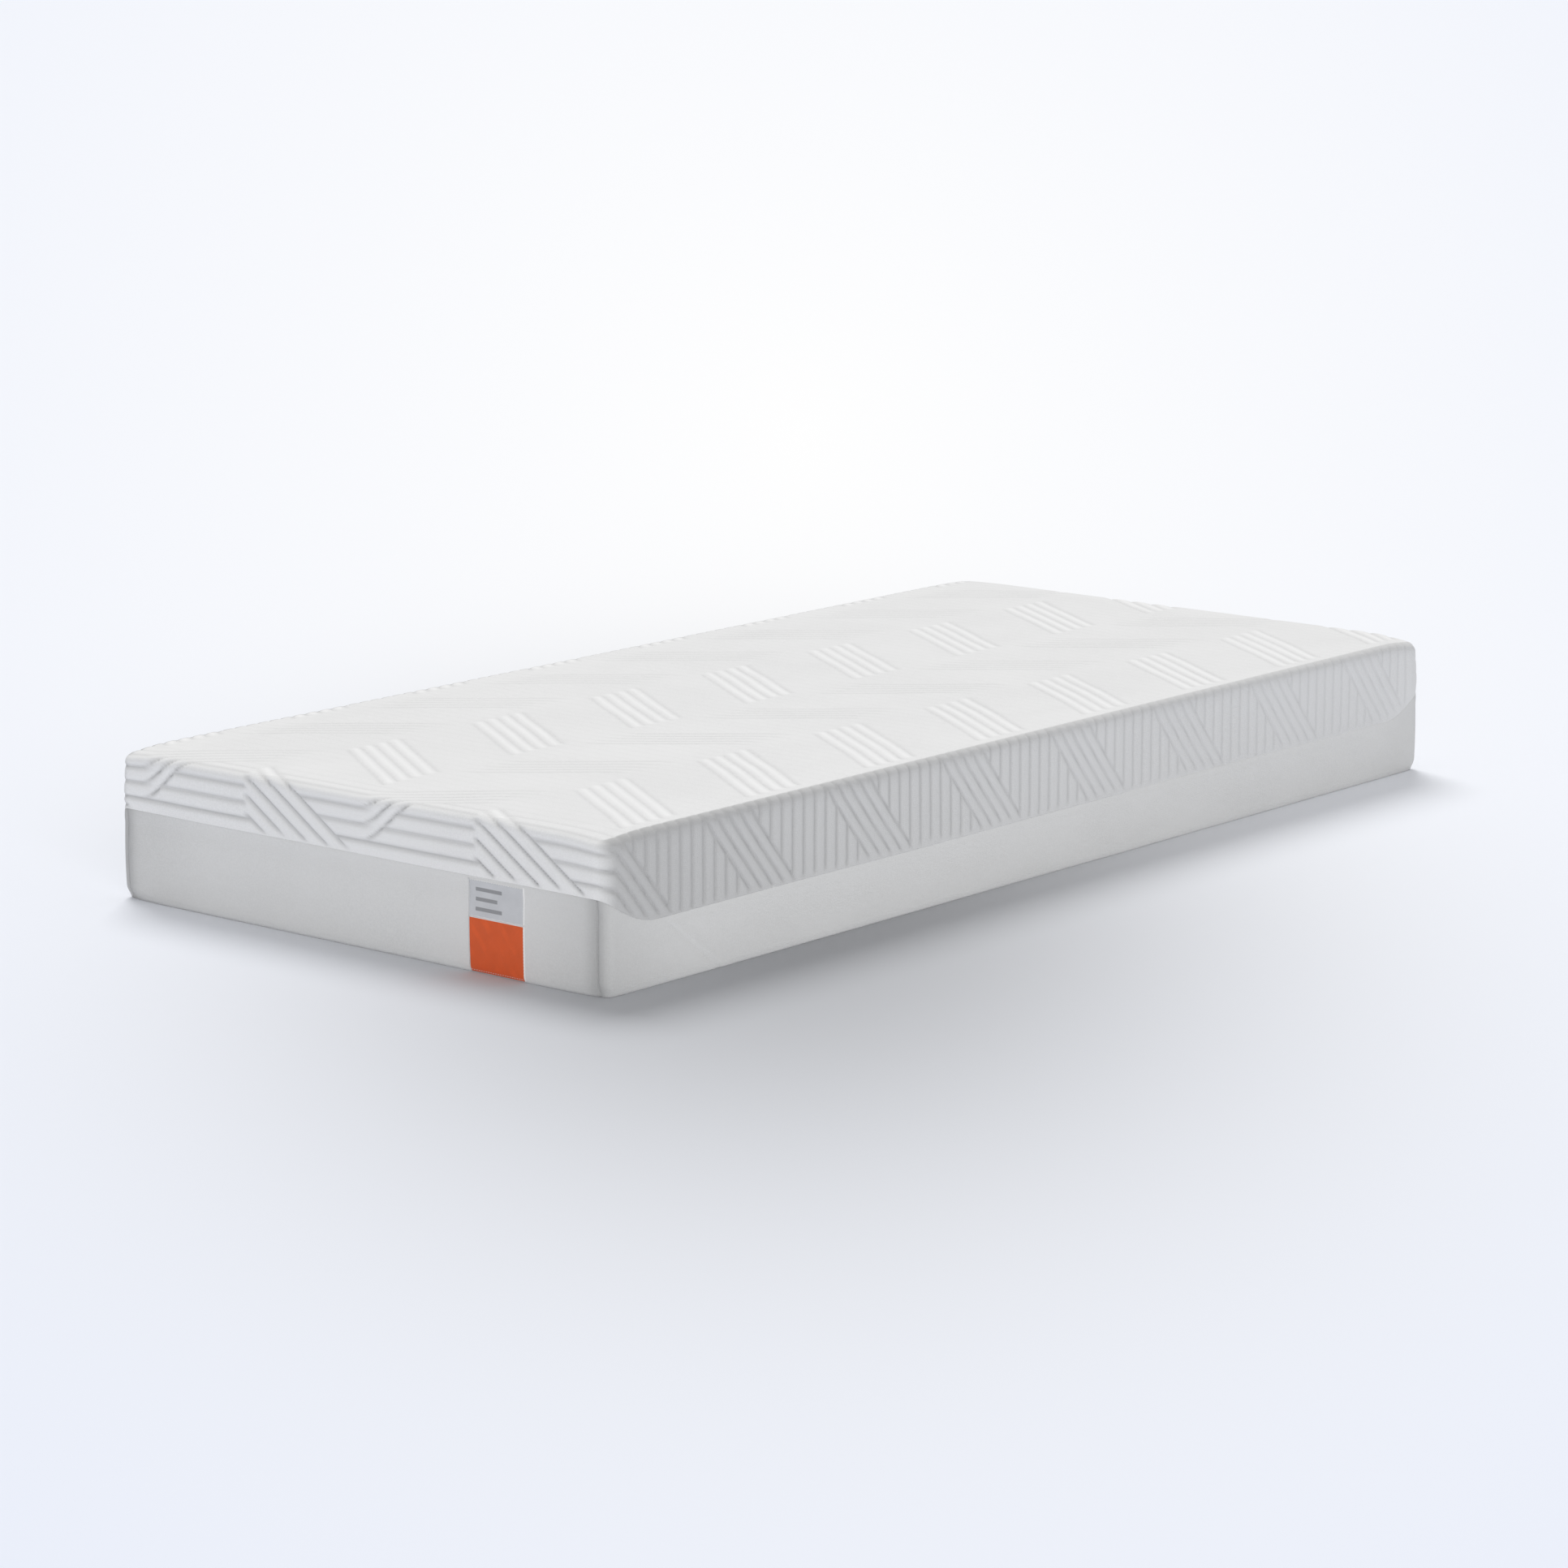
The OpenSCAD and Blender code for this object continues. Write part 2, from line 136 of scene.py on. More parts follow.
def outline(s, depth):
    """Points (x, y) and outward normals of the rounded plan, `depth` inside the outermost face.

    s is the distance along the outermost face, from the middle of the foot end towards +X.
    """
    a, b, arc = HALF_W - CORNER_R, HALF_L - CORNER_R, CORNER_R * math.pi / 2
    s = np.mod(np.asarray(s, float), outline_length())
    starts = np.cumsum([0, a, arc, 2 * b, arc, 2 * a, arc, 2 * b, arc])
    k = np.searchsorted(starts, s, side="right") - 1
    t = s - starts[k]
    turn = t / CORNER_R
    cx = np.choose(k, [t, a + 0 * t, a + 0 * t, a + 0 * t, a - t, -a + 0 * t, -a + 0 * t, -a + 0 * t, -a + t])
    cy = np.choose(k, [-b + 0 * t, -b + 0 * t, -b + t, b + 0 * t, b + 0 * t, b + 0 * t, b - t, -b + 0 * t,
                       -b + 0 * t])
    quarter = math.pi / 2
    angle = np.choose(k, [-quarter + 0 * t, -quarter + turn, 0 * t, turn, quarter + 0 * t, quarter + turn,
                          math.pi + 0 * t, math.pi + turn, 3 * quarter + 0 * t])
    nx, ny = np.cos(angle), np.sin(angle)
    return cx + (CORNER_R - depth) * nx, cy + (CORNER_R - depth) * ny, nx, ny


def outline_length():
    return 4 * (HALF_W - CORNER_R) + 4 * (HALF_L - CORNER_R) + 2 * math.pi * CORNER_R


S_RIGHT = HALF_W - CORNER_R + CORNER_R * math.pi / 2            # where the right side's straight run starts
S_HEAD = outline_length() / 2                                   # the middle of the head end
S_FOOT_SEAM = HALF_W - CORNER_R + CORNER_R * math.asin((SEAM_X - (HALF_W - CORNER_R)) / CORNER_R)
SEAMS = (S_FOOT_SEAM, S_HEAD - S_FOOT_SEAM, S_HEAD + S_FOOT_SEAM, outline_length() - S_FOOT_SEAM)


def hem_drop(y):
    """How far the quilting comes down from the top, at a place along the length."""
    run = np.clip((HALF_L - np.abs(y)) / HEM_RUN, 0, 1)
    return HEM_END + (HEM_SIDE - HEM_END) * np.sin(run * math.pi / 2)


# ---------------------------------------------------------------- materials

WAVE_TURN = 6.2832      # a thread count over this is the scale of its wave texture


class Nodes:
    """A short way to lay out one material's nodes."""

    def __init__(self, name, colour, roughness, sheen=0.0, metallic=0.0):
        self.material = bpy.data.materials.new(name)
        self.material.use_nodes = True
        self.tree = self.material.node_tree
        self.shader = self.tree.nodes["Principled BSDF"]
        self.set("Base Color", (*colour, 1))
        self.set("Roughness", roughness)
        self.set("Metallic", metallic)
        self.set("Sheen Weight", sheen)
        self.set("Sheen Roughness", 0.5)
        self.coords = self.add("ShaderNodeTexCoord").outputs["Object"]

    def set(self, socket, value):
        self.shader.inputs[socket].default_value = value

    def add(self, kind, **values):
        node = self.tree.nodes.new(kind)
        for key, value in values.items():
            if hasattr(node, key):
                setattr(node, key, value)
            else:
                node.inputs[key.replace("_", " ")].default_value = value
        return node

    def link(self, a, b):
        self.tree.links.new(a, b)

    def turned(self, turn):
        node = self.add("ShaderNodeMapping")
        node.inputs["Rotation"].default_value = turn
        self.link(self.coords, node.inputs["Vector"])
        return node.outputs["Vector"]

    def noise(self, scale, detail=3.0, roughness=0.5):
        node = self.add("ShaderNodeTexNoise", Scale=scale, Detail=detail, Roughness=roughness)
        self.link(self.coords, node.inputs["Vector"])
        return node.outputs["Fac"]

    def wave(self, scale, vector=None, distortion=0.0, direction="X"):
        node = self.add("ShaderNodeTexWave", Scale=scale, Distortion=distortion, bands_direction=direction)
        self.link(vector or self.coords, node.inputs["Vector"])
        return node.outputs["Fac"]

    def cells(self, scale):
        node = self.add("ShaderNodeTexVoronoi", Scale=scale)
        self.link(self.coords, node.inputs["Vector"])
        return node.outputs["Distance"]

    def math(self, operation, a, b, clamp=False):
        node = self.add("ShaderNodeMath", operation=operation, use_clamp=clamp)
        for socket, value in zip(node.inputs, (a, b)):
            if isinstance(value, (int, float)):
                socket.default_value = value
            else:
                self.link(value, socket)
        return node.outputs[0]

    def spread(self, value, low_in, high_in, low_out=0.0, high_out=1.0):
        node = self.add("ShaderNodeMapRange")
        self.link(value, node.inputs["Value"])
        for key, number in zip(("From Min", "From Max", "To Min", "To Max"), (low_in, high_in, low_out, high_out)):
            node.inputs[key].default_value = number
        return node.outputs["Result"]

    def mix(self, factor, colour_a, colour_b):
        node = self.add("ShaderNodeMix", data_type="RGBA")
        self.link(factor, node.inputs["Factor"])
        for socket, value in ((node.inputs["A"], colour_a), (node.inputs["B"], colour_b)):
            for s in ([s for s in node.inputs if s.name == socket.name and s.type == "RGBA"]):
                if isinstance(value, tuple):
                    s.default_value = (*value, 1)
                else:
                    self.link(value, s)
        return [s for s in node.outputs if s.type == "RGBA"][0]

    def attribute(self, name):
        return self.add("ShaderNodeAttribute", attribute_name=name).outputs["Fac"]

    def paint(self, colour):
        self.link(colour, self.shader.inputs["Base Color"])

    def roughen(self, value):
        self.link(value, self.shader.inputs["Roughness"])

    def bump(self, *layers):
        """Each layer is (height, distance in metres); they add up."""
        normal = None
        for height, distance in layers:
            node = self.add("ShaderNodeBump", Strength=1.0, Distance=distance)
            self.link(height, node.inputs["Height"])
            if normal:
                self.link(normal, node.inputs["Normal"])
            normal = node.outputs["Normal"]
        self.link(normal, self.shader.inputs["Normal"])


def shade(colour, factor):
    return tuple(c * factor for c in colour)


def knit_material(name, colour, groove=0.0, loop=900.0, fuzz=0.5):
    """A fine knit: rows of small loops with a soft sheen. Where the groove attribute is above 0 its colour is painted
    darker, as painted shade, and where it is below 0 painted lighter, as a painted highlight.
    """
    m = Nodes(name, colour, 0.9, sheen=0.25)
    broad = m.spread(m.noise(5, 4), 0.35, 0.65)
    base = m.mix(broad, shade(colour, 0.965), shade(colour, 1.02))
    yarn = m.spread(m.noise(420, 2), 0.35, 0.65)
    speckled = m.mix(yarn, base, shade(colour, 1.03))
    if groove:
        # Painted light: the groove attribute mixes in painted shade above 0 and a painted highlight below 0.
        deep = m.attribute("groove")
        speckled = m.mix(m.math("MULTIPLY", deep, groove, clamp=True), speckled, shade(colour, 0.45))
        speckled = m.mix(m.math("MULTIPLY", deep, -1.0, clamp=True), speckled, shade(colour, 1.14))
    m.paint(speckled)
    columns = m.wave(loop / WAVE_TURN, direction="X")
    rows, uprights = (m.wave(loop / WAVE_TURN * 0.8, direction=axis, distortion=1.5) for axis in "YZ")
    loops = m.math("MULTIPLY", m.math("MULTIPLY", columns, rows), uprights)
    m.bump((m.noise(160, 3), 0.0005 * fuzz), (m.cells(520), 0.0004 * fuzz), (loops, 0.0002))
    return m.material


def woven_material(name, colour, pitch=0.0012):
    """A plain weave seen as two crossing sets of threads."""
    m = Nodes(name, colour, 0.85, sheen=0.1)
    warp, weft, up = (m.wave(1 / pitch / WAVE_TURN, direction=axis) for axis in "XYZ")
    weave = m.math("ADD", m.math("MULTIPLY", warp, weft), up)
    tone = m.spread(m.noise(9, 4), 0.3, 0.7)
    m.paint(m.mix(tone, shade(colour, 0.94), shade(colour, 1.04)))
    m.bump((weave, 0.0002), (m.noise(300, 2), 0.0002))
    return m.material


def wadding_material(name, colour):
    m = Nodes(name, colour, 0.95, sheen=0.3)
    m.paint(m.mix(m.noise(30, 6), shade(colour, 0.9), shade(colour, 1.05)))
    m.bump((m.noise(90, 6, roughness=0.7), 0.002))
    return m.material


def foam_material(name, colour, cell=700.0):
    """Cut open-cell foam: fine pores of two sizes, with painted shade in the fine pores."""
    m = Nodes(name, colour, 0.95, sheen=0.15)
    pores = m.spread(m.cells(cell), 0.05, 0.5)
    large = m.spread(m.cells(cell / 3.1), 0.1, 0.6)
    tone = m.mix(pores, shade(colour, 0.8), colour)
    m.paint(m.mix(m.spread(m.noise(7, 3), 0.3, 0.7), tone, shade(colour, 1.03)))
    m.bump((pores, 0.0005), (large, 0.0006))
    return m.material


def plastic_material(name, colour):
    m = Nodes(name, colour, 0.45)
    m.roughen(m.spread(m.noise(400, 2), 0.3, 0.7, 0.38, 0.55))
    m.paint(m.mix(m.noise(60, 2), shade(colour, 0.95), shade(colour, 1.03)))
    return m.material


def zinc_material(name, colour):
    """Satin zinc, worn a little brighter in places."""
    m = Nodes(name, colour, 0.35, metallic=1.0)
    wear = m.spread(m.noise(900, 4), 0.4, 0.7)
    m.paint(m.mix(wear, colour, shade(colour, 1.25)))
    m.roughen(m.spread(m.noise(1500, 3), 0.3, 0.7, 0.28, 0.45))
    m.bump((m.noise(2200, 2), 0.00003))
    return m.material


def band_mask(m, axis_value, centre, half, blur=0.00015):
    """1 inside centre +- half, 0 outside, with a narrow soft edge."""
    off = m.math("ABSOLUTE", m.math("SUBTRACT", axis_value, centre), 0)
    return m.spread(off, half + blur, half - blur)


def label_material(name, colour, box, lines=(), slanted=False):
    """A woven label: fine weft, a pale edging, and plain bars where a real one has its print."""
    m = Nodes(name, colour, 0.6, sheen=0.05)
    split = m.add("ShaderNodeSeparateXYZ")
    m.link(m.coords, split.inputs[0])
    x, z = split.outputs["X"], split.outputs["Z"]
    tone = m.spread(m.noise(40, 3), 0.3, 0.7)
    painted = m.mix(tone, shade(colour, 0.95), shade(colour, 1.04))
    if slanted:
        stripes = m.wave(1 / 0.011 / WAVE_TURN, vector=m.turned((0, math.radians(40), 0)), distortion=2.5)
        stripes = m.math("MULTIPLY", m.spread(stripes, 0.5, 0.9), m.spread(m.noise(45, 3), 0.4, 0.6))
        painted = m.mix(m.math("MULTIPLY", stripes, 0.4), painted, shade(colour, 1.22))
    for left, right, height, thick in lines:
        across = band_mask(m, x, (left + right) / 2, (right - left) / 2)
        up = band_mask(m, z, height, thick / 2)
        painted = m.mix(m.math("MULTIPLY", across, up), painted, shade(colour, 0.5))
    lo, hi = box
    edging = 0.0020
    inside_x = band_mask(m, x, (lo.x + hi.x) / 2, (hi.x - lo.x) / 2 - edging)
    inside_z = band_mask(m, z, (lo.z + hi.z) / 2, (hi.z - lo.z) / 2 - edging * 0.7)
    painted = m.mix(m.math("MULTIPLY", inside_x, inside_z), (0.80, 0.80, 0.80), painted)
    m.paint(painted)
    weft = m.wave(1 / 0.0007 / WAVE_TURN, direction="Z")
    m.bump((weft, 0.0001), (m.noise(700, 2), 0.00008))
    return m.material


QUILT_WHITE = (0.79, 0.79, 0.79)
BORDER_WHITE = (0.675, 0.675, 0.67)


def label_bars():
    """Three plain bars at the left of the grey half, where a real label has its print."""
    lo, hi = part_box("label_grey")
    return [(lo.x + 0.013, lo.x + 0.013 + run, hi.z - drop, 0.005)
            for run, drop in ((0.046, 0.013), (0.038, 0.026), (0.046, 0.039))]


def orange_box():
    """The orange half's outline, drawn on under the floor so that its edging stays off the bottom."""
    lo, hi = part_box("label_orange")
    return lo - Vector((0, 0, 0.02)), hi


MATERIALS = {
    "quilt_knit": knit_material("quilt_knit", QUILT_WHITE, groove=0.75),
    "border_cloth": knit_material("border_cloth", BORDER_WHITE, groove=0.6, loop=1100.0, fuzz=0.35),
    "base_cloth": woven_material("base_cloth", (0.42, 0.43, 0.45)),
    "zip_tape": woven_material("zip_tape", (0.62, 0.63, 0.64), pitch=0.0009),
    "zip_coil": plastic_material("zip_coil", (0.55, 0.56, 0.57)),
    "liner": knit_material("liner", (0.72, 0.70, 0.65), loop=1400.0),
    "base_foam": foam_material("base_foam", (0.80, 0.79, 0.74), 600.0),
    "support_foam": foam_material("support_foam", (0.50, 0.64, 0.74), 800.0),
    "memory_foam": foam_material("memory_foam", (0.85, 0.76, 0.50), 1100.0),
    "wadding": wadding_material("wadding", (0.80, 0.80, 0.79)),
    "label_grey": label_material("label_grey", (0.56, 0.57, 0.59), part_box("label_grey"), lines=label_bars()),
    "label_orange": label_material("label_orange", (0.66, 0.088, 0.008), orange_box(), slanted=True),
    "label_white": woven_material("label_white", (0.82, 0.82, 0.80), pitch=0.0006),
    "thread": woven_material("thread", (0.82, 0.82, 0.81), pitch=0.0004),
    "grip_rubber": plastic_material("grip_rubber", (0.30, 0.31, 0.32)),
    "zip_metal": zinc_material("zip_metal", (0.46, 0.47, 0.49)),
}


def finish_piece(obj, slot, body, *nodes):
    """Rides a piece on its body and stands it in for its CAD nodes; slot is not used."""
    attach(obj, body)
    if nodes:
        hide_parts(*nodes)
    return obj


# ---------------------------------------------------------------- the quilting

REPEAT = 0.2475         # the pattern's repeat along the length
BAND = 0.21             # width of one band of slanted ribs, across
BAND_START = 0.005      # where a band starts, from the middle
RIBS = 11               # straight ribs in a repeat
RIB = REPEAT / RIBS
RIB_START = -0.0128     # a straight groove, from the foot end
# Both leans come in groups of four slanted ribs: spacing along the length, total rise across the band,
# length of the bends at the ends, length over which a group blends into the straight ribs, and its middle.
CRISP = dict(rib=0.026, rise=-0.1296, bend=0.015, blend=0.012, middle=0.118 + 0.1296)
SOFT = dict(rib=RIB, rise=6 * RIB, bend=0.05, blend=0.045, middle=RIB_START + REPEAT)


def puff(t):
    """A padded rib seen across: a sharp groove at each whole number, a round crest between."""
    ridge = np.abs(np.sin(math.pi * t))
    return 1 - (1 - ridge) ** 2.3


def band_place(u):
    """Which band u lies in, and how far across it."""
    band = np.floor((u - BAND_START) / BAND)
    return np.mod(band, 2) == 1, u - BAND_START - band * BAND


def group_offset(w, v, kind):
    """Distance along the length from the middle of the nearest group of slanted ribs."""
    bend = kind["bend"]
    run = np.where(w < bend, w * w / (2 * bend),
                   np.where(w > BAND - bend, BAND - bend - (BAND - w) ** 2 / (2 * bend), w - bend / 2))
    middle = kind["middle"] + kind["rise"] * run / (BAND - bend)
    return np.mod(v - middle + REPEAT / 2, REPEAT) - REPEAT / 2


def slanted_group(w, v, straight, amp, kind):
    """One band's groups of slanted ribs, at w across the band."""
    off, half = group_offset(w, v, kind), 2 * kind["rib"]
    ribs = amp * (1 - puff(off / kind["rib"]))
    beside = amp * (1 - puff(np.minimum((np.abs(off) - half) / kind["rib"], 0.5)))
    group = np.where(np.abs(off) < half, ribs, np.maximum(beside, straight))
    return straight + (group - straight) * smooth(np.minimum(w, BAND - w) / kind["blend"])


def painted_crest_highlight(u, v):
    """Painted highlight: 1 along the stretched crests of the crisp groups, which are painted lighter where they catch
    the light.
    """
    crisp, w = band_place(u)
    off = group_offset(w, v, CRISP)
    inside = (np.abs(off) < 2 * CRISP["rib"]) * smooth(np.minimum(w, BAND - w) / CRISP["blend"])
    return crisp * inside * np.abs(np.sin(math.pi * off / CRISP["rib"])) ** 5


def quilt_depth(u, v, straight_amp, crisp_amp, soft_amp):
    """How far the quilted face lies below its crests, at u across and v from the foot end."""
    crisp, w = band_place(u)
    straight = straight_amp * (1 - puff((v - RIB_START) / RIB))
    return np.where(crisp, slanted_group(w, v, straight, crisp_amp, CRISP),
                    slanted_group(w, v, straight, soft_amp, SOFT))


def cover_grid():
    """Grid lines across and along, closer in the corners and in step with the straight grooves."""
    a, b = HALF_W - CORNER_R, HALF_L - CORNER_R
    step = RIB / 7
    first = RIB_START - HALF_L
    along = first + step * np.arange(math.ceil((-b - first) / step) + 1, math.floor((b - first) / step))
    corner = CORNER_R * np.arange(0, 5) / 4
    across = np.linspace(-a, a, 221)
    xs = np.concatenate([-HALF_W + corner[:-1], across, a + corner[1:]])
    ys = np.concatenate([-HALF_L + corner, along, b + corner])
    return xs, ys


def plan(x, y, inset):
    """Moves a point of the square plan onto the rounded plan; also gives its outward direction."""
    qx = np.maximum(np.abs(x) - (HALF_W - CORNER_R), 0) / CORNER_R
    qy = np.maximum(np.abs(y) - (HALF_L - CORNER_R), 0) / CORNER_R
    length = np.maximum(np.hypot(qx, qy), 1e-9)
    reach = np.maximum(qx, qy) * (CORNER_R - inset)
    dx, dy = np.sign(x) * qx / length, np.sign(y) * qy / length
    px = np.sign(x) * np.minimum(np.abs(x), HALF_W - CORNER_R) + dx * reach
    py = np.sign(y) * np.minimum(np.abs(y), HALF_L - CORNER_R) + dy * reach
    return px, py, dx, dy


def soften_corners(points):
    """Lets the quilting slump a little at its upper corners, most at the head end."""
    x, y, z = points.T
    for side_x, side_y, amount in ((1, 1, 1.0), (-1, 1, 0.3), (-1, -1, 0.7), (1, -1, 0.8)):
        near = amount * np.exp(-((x - side_x * HALF_W) ** 2 + (y - side_y * HALF_L) ** 2) / 0.05 ** 2)
        near = near * smooth((z - (TOP - HEM_END)) / 0.1)
        x, y, z = x - side_x * 0.004 * near, y - side_y * 0.004 * near, z - 0.008 * near
    return np.stack([x, y, z], -1)


def quilted_cover():
    xs, ys = cover_grid()
    nx, ny = len(xs), len(ys)
    gx, gy = np.meshgrid(xs, ys, indexing="ij")
    px, py, _, _ = plan(gx, gy, EDGE_R)
    unevenness = 0.0009 * waves(px, py, 3, scale=0.5) + 0.0004 * waves(px, py, 4, scale=0.12)
    edge_near = np.minimum(HALF_W - np.abs(gx), HALF_L - np.abs(gy))
    near_foot = 1 - smooth((HALF_L + gy) / 0.07)
    down = quilt_depth(px, py + HALF_L, 0.0003 + 0.0017 * near_foot, 0.0022, 0.0022)
    crown = 0.002 * smooth(edge_near / 0.12)
    top = np.stack([px, py, TOP - 0.002 + crown + unevenness * smooth(edge_near / 0.05) - down], -1)
    verts = [top.reshape(-1, 3)]
    # Painted light on the top: painted shade in the grooves, less the painted highlight on the crisp crests.
    groove = [(down / 0.0062 - 0.9 * painted_crest_highlight(px, py + HALF_L)).ravel()]

    index = np.arange(nx * ny).reshape(nx, ny)
    faces = [(index[i, j], index[i + 1, j], index[i + 1, j + 1], index[i, j + 1])
             for i in range(nx - 1) for j in range(ny - 1)]

    ring_ij = ([(i, 0) for i in range(nx - 1)] + [(nx - 1, j) for j in range(ny - 1)]
               + [(i, ny - 1) for i in range(nx - 1, 0, -1)] + [(0, j) for j in range(ny - 1, 0, -1)])
    ri, rj = np.array(ring_ij).T
    rx, ry = xs[ri], ys[rj]
    ex, ey, dx, dy = plan(rx, ry, EDGE_R)
    drop = hem_drop(plan(rx, ry, 0)[1])
    end_share = smooth(np.abs(dy) / np.maximum(np.abs(dx) + np.abs(dy), 1e-9))
    far = (1 - end_share) * np.clip((ry + HALF_L) / 1.7, 0, 1)

    def ring(t, inset, z, out, up):
        """One ring of the side: t is the way down the cloth from the flat top."""
        x, y, _, _ = plan(rx, ry, inset)
        straight_amp = 0.0019 + 0.0015 * smooth(t / 0.03)
        slant_amp = 0.0026 + 0.0018 * smooth(t / 0.03)
        soft_amp = 0.0016 + 0.0024 * smooth(t / 0.03)
        side = quilt_depth(ex + np.sign(rx) * t, ey + HALF_L, straight_amp, slant_amp, soft_amp)
        end = quilt_depth(ex, ey + np.sign(ry) * t + HALF_L, straight_amp + 0.0012, slant_amp + 0.0010,
                          soft_amp + 0.0012)
        down = side + (end - side) * end_share
        ragged = 0.010 + 0.005 * waves(rx * 2 + ry, 0 * rx, 9, scale=0.08)
        fade = smooth((drop + EDGE_ARC - EDGE_R - t) / ragged)
        down = down * fade * (1 - 0.55 * far)
        # Painted shade on the long sides: darker all over, more towards the foot, and most in a band just below the
        # top edge.
        shadow = (1 - end_share) * (0.34 + 0.55 * np.exp(-(ry + HALF_L) / 0.7)
                                    + 0.18 * np.exp(-((t - 0.014) / 0.013) ** 2))
        soft = 0.0012 * waves(rx * 1.3 + ry, z + 0 * rx, 8, scale=0.3) * smooth(t / 0.03)
        move = soft - down
        points = np.stack([x + dx * out * move, y + dy * out * move, z + up * move], -1)
        # The ring's painted light: painted shade in its grooves, fainter towards the head, plus the painted shade of
        # the long sides.
        return points, down / 0.0058 * (1 - 0.45 * far) + shadow

    rows = []
    for k in range(1, 7):
        phi = math.pi / 2 * k / 6
        t = EDGE_R * phi + 0 * rx
        rows.append(ring(t, EDGE_R * (1 - math.sin(phi)), TOP - 0.002 * (1 - k / 6) - EDGE_R * (1 - math.cos(phi)),
                         math.sin(phi), math.cos(phi)))
    side_rows = 26
    for share in (*(np.arange(1, side_rows) / side_rows), 0.992, 1.0):
        z = TOP - EDGE_R - (drop - EDGE_R) * share
        t = EDGE_ARC + (drop - EDGE_R) * share
        tuck = HEM_SET_BACK * smooth(1 - (1 - share) * (drop - EDGE_R) / 0.016)
        rows.append(ring(t, tuck, z, 1.0, 0.0))

    inner_z = TOP - QUILT_BACK
    hem_z = TOP - drop
    inner_edge = EDGE_R - QUILT_BACK
    inner = [(BORDER_DEPTH + 0.002, hem_z), (QUILT_BACK, hem_z + 0.0015),
             (QUILT_BACK, (hem_z + inner_z - inner_edge) / 2), (QUILT_BACK, inner_z - inner_edge + 0 * rx)]
    for k in range(1, 4):
        phi = math.pi / 2 * k / 3
        inner.append((QUILT_BACK + inner_edge * (1 - math.cos(phi)),
                      inner_z - inner_edge * (1 - math.sin(phi)) + 0 * rx))
    # The inner rows get an even painted shade of 0.5.
    for inset, z in inner:
        x, y, _, _ = plan(rx, ry, inset)
        rows.append((np.stack([x, y, z], -1), 0.5 + 0 * rx))

    n = len(rx)
    previous = index[ri, rj]
    start = nx * ny
    for points, dark in rows:
        verts.append(points)
        groove.append(dark)
        current = np.arange(start, start + n)
        faces += [(previous[i], previous[(i + 1) % n], current[(i + 1) % n], current[i]) for i in range(n)]
        previous = current
        start += n
    faces.append(tuple(previous))
    obj = new_object("quilted_cover", soften_corners(np.concatenate(verts)), [tuple(int(i) for i in f) for f in faces],
                     MATERIALS["quilt_knit"])
    dark = obj.data.attributes.new("groove", "FLOAT", "POINT")
    dark.data.foreach_set("value", np.clip(np.concatenate(groove), -1, 1))
    face_outwards(obj)
    return finish_piece(obj, "quilt_knit", "top_cover", "quilt_face", "quilt_wadding", "quilt_backing")


# ---------------------------------------------------------------- bands of cloth round the sides

def seam_distance(s):
    """Distance round the sides to the nearest upright seam."""
    length = outline_length()
    off = [np.abs(np.mod(s - seam + length / 2, length) - length / 2) for seam in SEAMS]
    return np.minimum(np.minimum(off[0], off[1]), np.minimum(off[2], off[3]))


def tuck_under(s, z):
    """How far the cloth turns in at the floor: a little along the sides, more at the corners."""
    corner = np.exp(-(seam_distance(s) / 0.03) ** 2)
    return (0.0020 + 0.0042 * corner) * (1 - smooth(z / (0.009 + 0.011 * corner)))


def border_soft(s, z):
    """Soft unevenness of the plain border, outwards. It bellies out, and dips in at the upright seams."""
    belly = 0.0004 + 0.0013 * np.sin(np.clip(z / 0.11, 0, 1) * math.pi)
    valley = np.exp(-(seam_distance(s) / 0.008) ** 2)
    near_seam = np.exp(-(seam_distance(s) / 0.024) ** 2)
    return (belly + 0.0005 * waves(s, z, 21, scale=0.35) + 0.0003 * waves(s, z, 22, scale=0.09)
            - 0.0024 * valley + 0.0014 * near_seam - tuck_under(s, z))


def border_creases(s, z):
    """The crease beside the near corner, slanting along the long side, with a slight rise beside it."""
    y = s - S_RIGHT + CORNER_R
    line = 0.11 + (0.087 - z) / 0.087 * 0.112
    off = (y - line) * 0.61
    crease = np.exp(-(off / 0.003) ** 2) - 0.7 * np.exp(-((off - 0.009) / 0.006) ** 2)
    return -0.0010 * crease * smooth((0.095 - z) / 0.02) * (y > 0.02)


